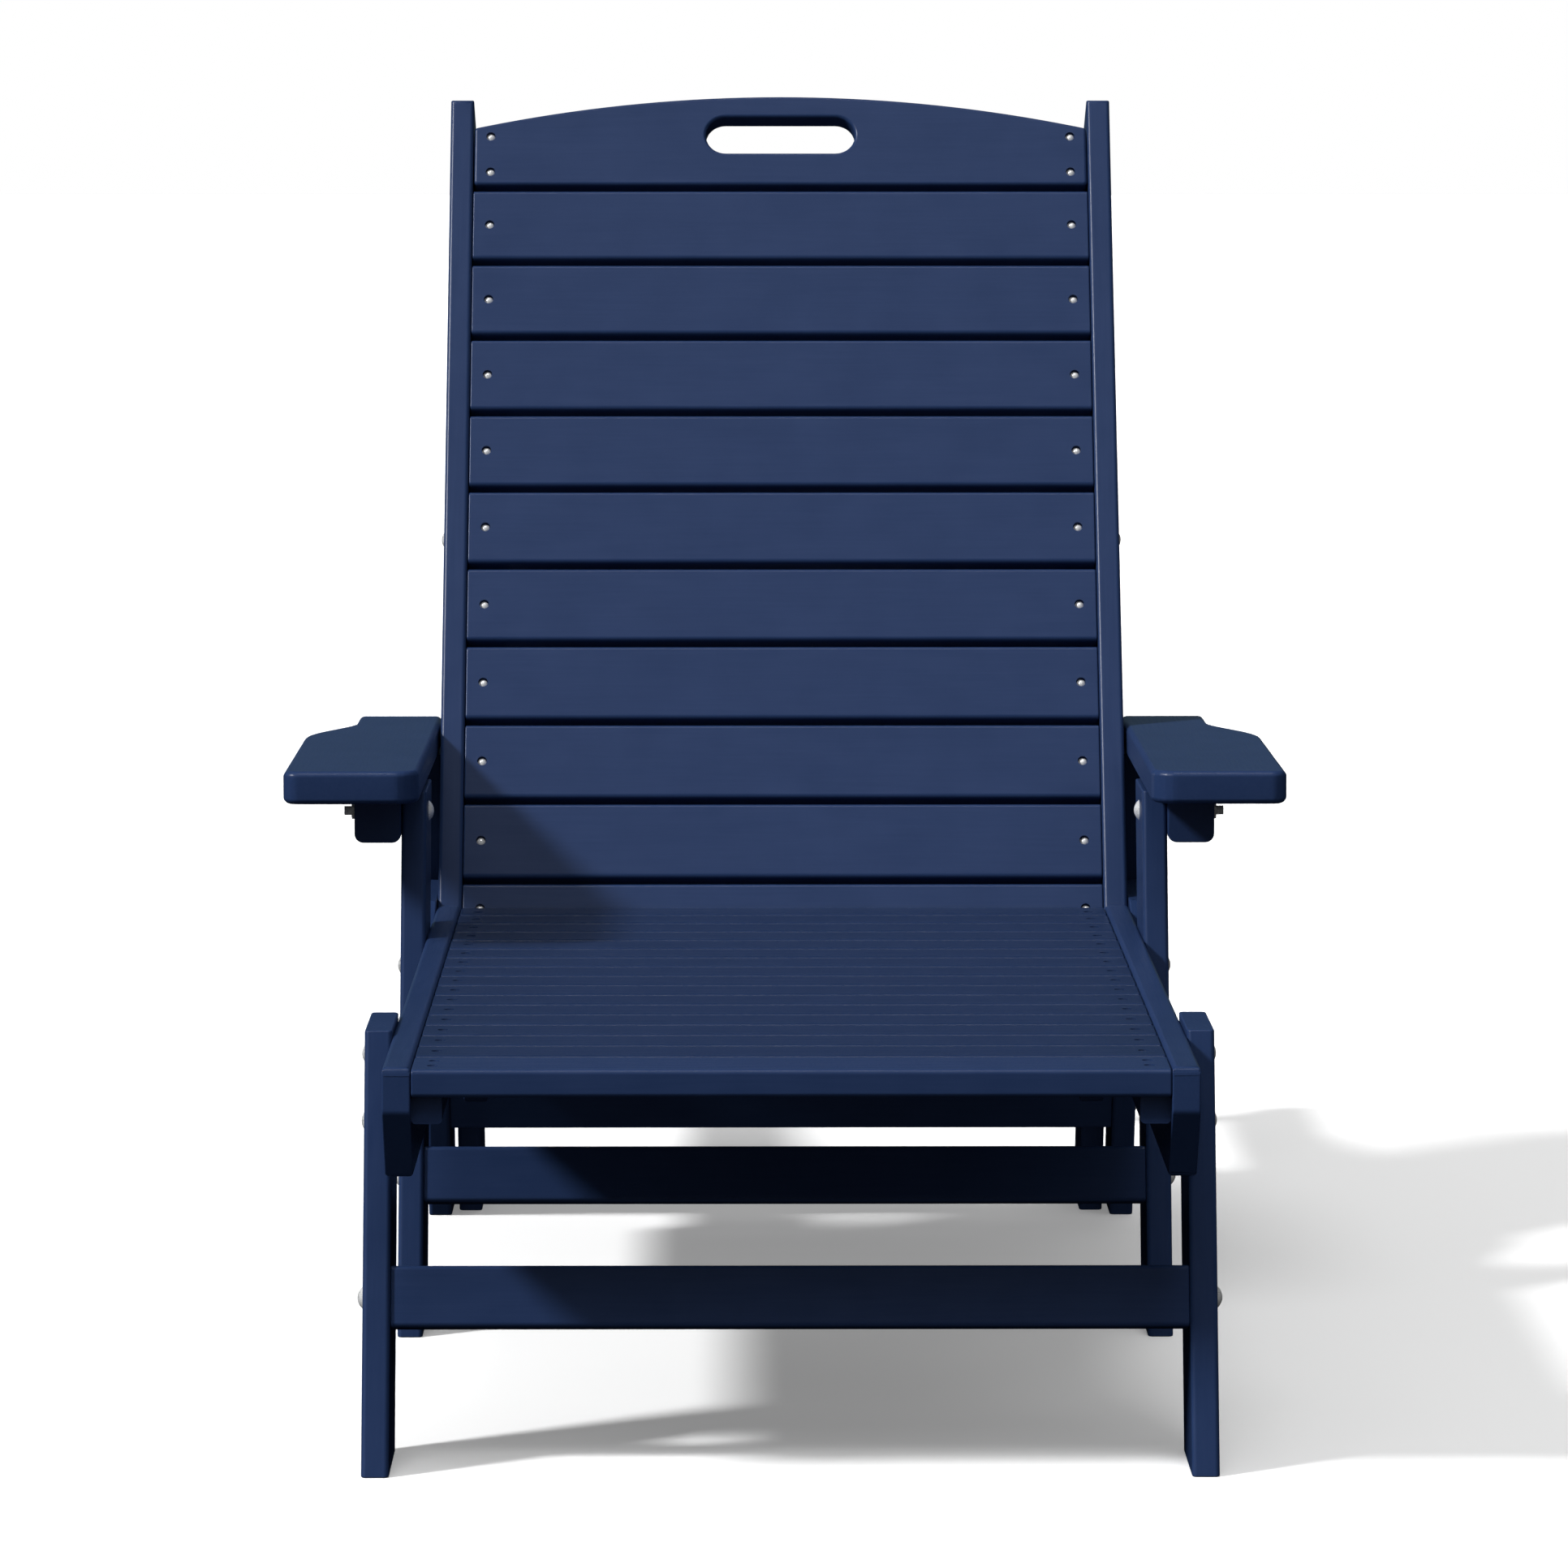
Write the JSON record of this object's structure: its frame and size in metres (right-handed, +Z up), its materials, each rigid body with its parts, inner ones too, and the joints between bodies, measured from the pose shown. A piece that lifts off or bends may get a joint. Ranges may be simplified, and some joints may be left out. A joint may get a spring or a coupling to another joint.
{
  "type": "adirondack chaise lounge",
  "caption": "Reclining garden chaise with flat arms, slatted seat and back, a finger slot in the curved top board, and a prop bar on a notched rack that sets the angle of the back.",
  "frame": {"origin": "on the floor, below the middle of the chair's bounding box with the back raised", "axes": "+Z up, -Y towards the foot end that the sitter faces, +X to the viewer's right when facing the chair's front"},
  "size_m": [0.8708, 1.9762, 1.0675],
  "materials": {
    "board": "navy recycled plastic lumber, satin, faint drawn grain, rounded edges",
    "fastener": "stainless steel, satin",
    "tube": "stainless tube, satin"
  },
  "bodies": {
    "root": {"seat_rail_left": "board", "seat_rail_right": "board", "seat_cleats": "board", "seat_slat_1": "board", "seat_slat_2": "board", "seat_slat_3": "board", "seat_slat_4": "board", "seat_slat_5": "board", "seat_slat_6": "board", "seat_slat_7": "board", "seat_slat_8": "board", "seat_slat_9": "board", "seat_slat_10": "board", "seat_slat_11": "board", "seat_slat_12": "board", "seat_slat_13": "board", "seat_slat_14": "board", "seat_slat_15": "board", "seat_slat_16": "board", "seat_slat_17": "board", "front_leg_left": "board", "front_leg_right": "board", "arm_post_left": "board", "arm_post_right": "board", "rear_leg_left": "board", "rear_leg_right": "board", "inner_legs": "board", "rack_rail_left": "board", "rack_rail_right": "board", "hinge_plate_left": "board", "hinge_plate_right": "board", "front_stretcher": "board", "middle_stretcher": "board", "rear_stretcher": "board", "rack_tie": "board", "arm_left": "board", "arm_right": "board", "arm_blocks": "board", "frame_screws": "fastener", "lag_bolts": "fastener", "through_bolts": "fastener", "frame_spacers": "fastener"},
    "backrest": {"back_rail_left": "board", "back_rail_right": "board", "back_cleats": "board", "top_board": "board", "back_slat_1": "board", "back_slat_2": "board", "back_slat_3": "board", "back_slat_4": "board", "back_slat_5": "board", "back_slat_6": "board", "back_slat_7": "board", "back_slat_8": "board", "back_slat_9": "board", "back_slat_10": "board", "back_screws": "fastener", "prop_bolts": "fastener"},
    "prop": {"prop_legs": "board", "prop_bar": "tube"}
  },
  "joints": [
    {"name": "back_recline", "type": "hinge", "parent": "root", "child": "backrest", "pos_m": [0, 0.10608, 0.279], "axis": [1, 0, 0], "range_deg": [-61, 0]},
    {"name": "prop_swing", "type": "hinge", "parent": "backrest", "child": "prop", "pos_m": [0, 0.31407, 0.65421], "axis": [1, 0, 0], "range_deg": [0, 122]}
  ],
  "couplings": [
    {"joint": "prop_swing", "follows": "back_recline", "ratio": -2}
  ]
}
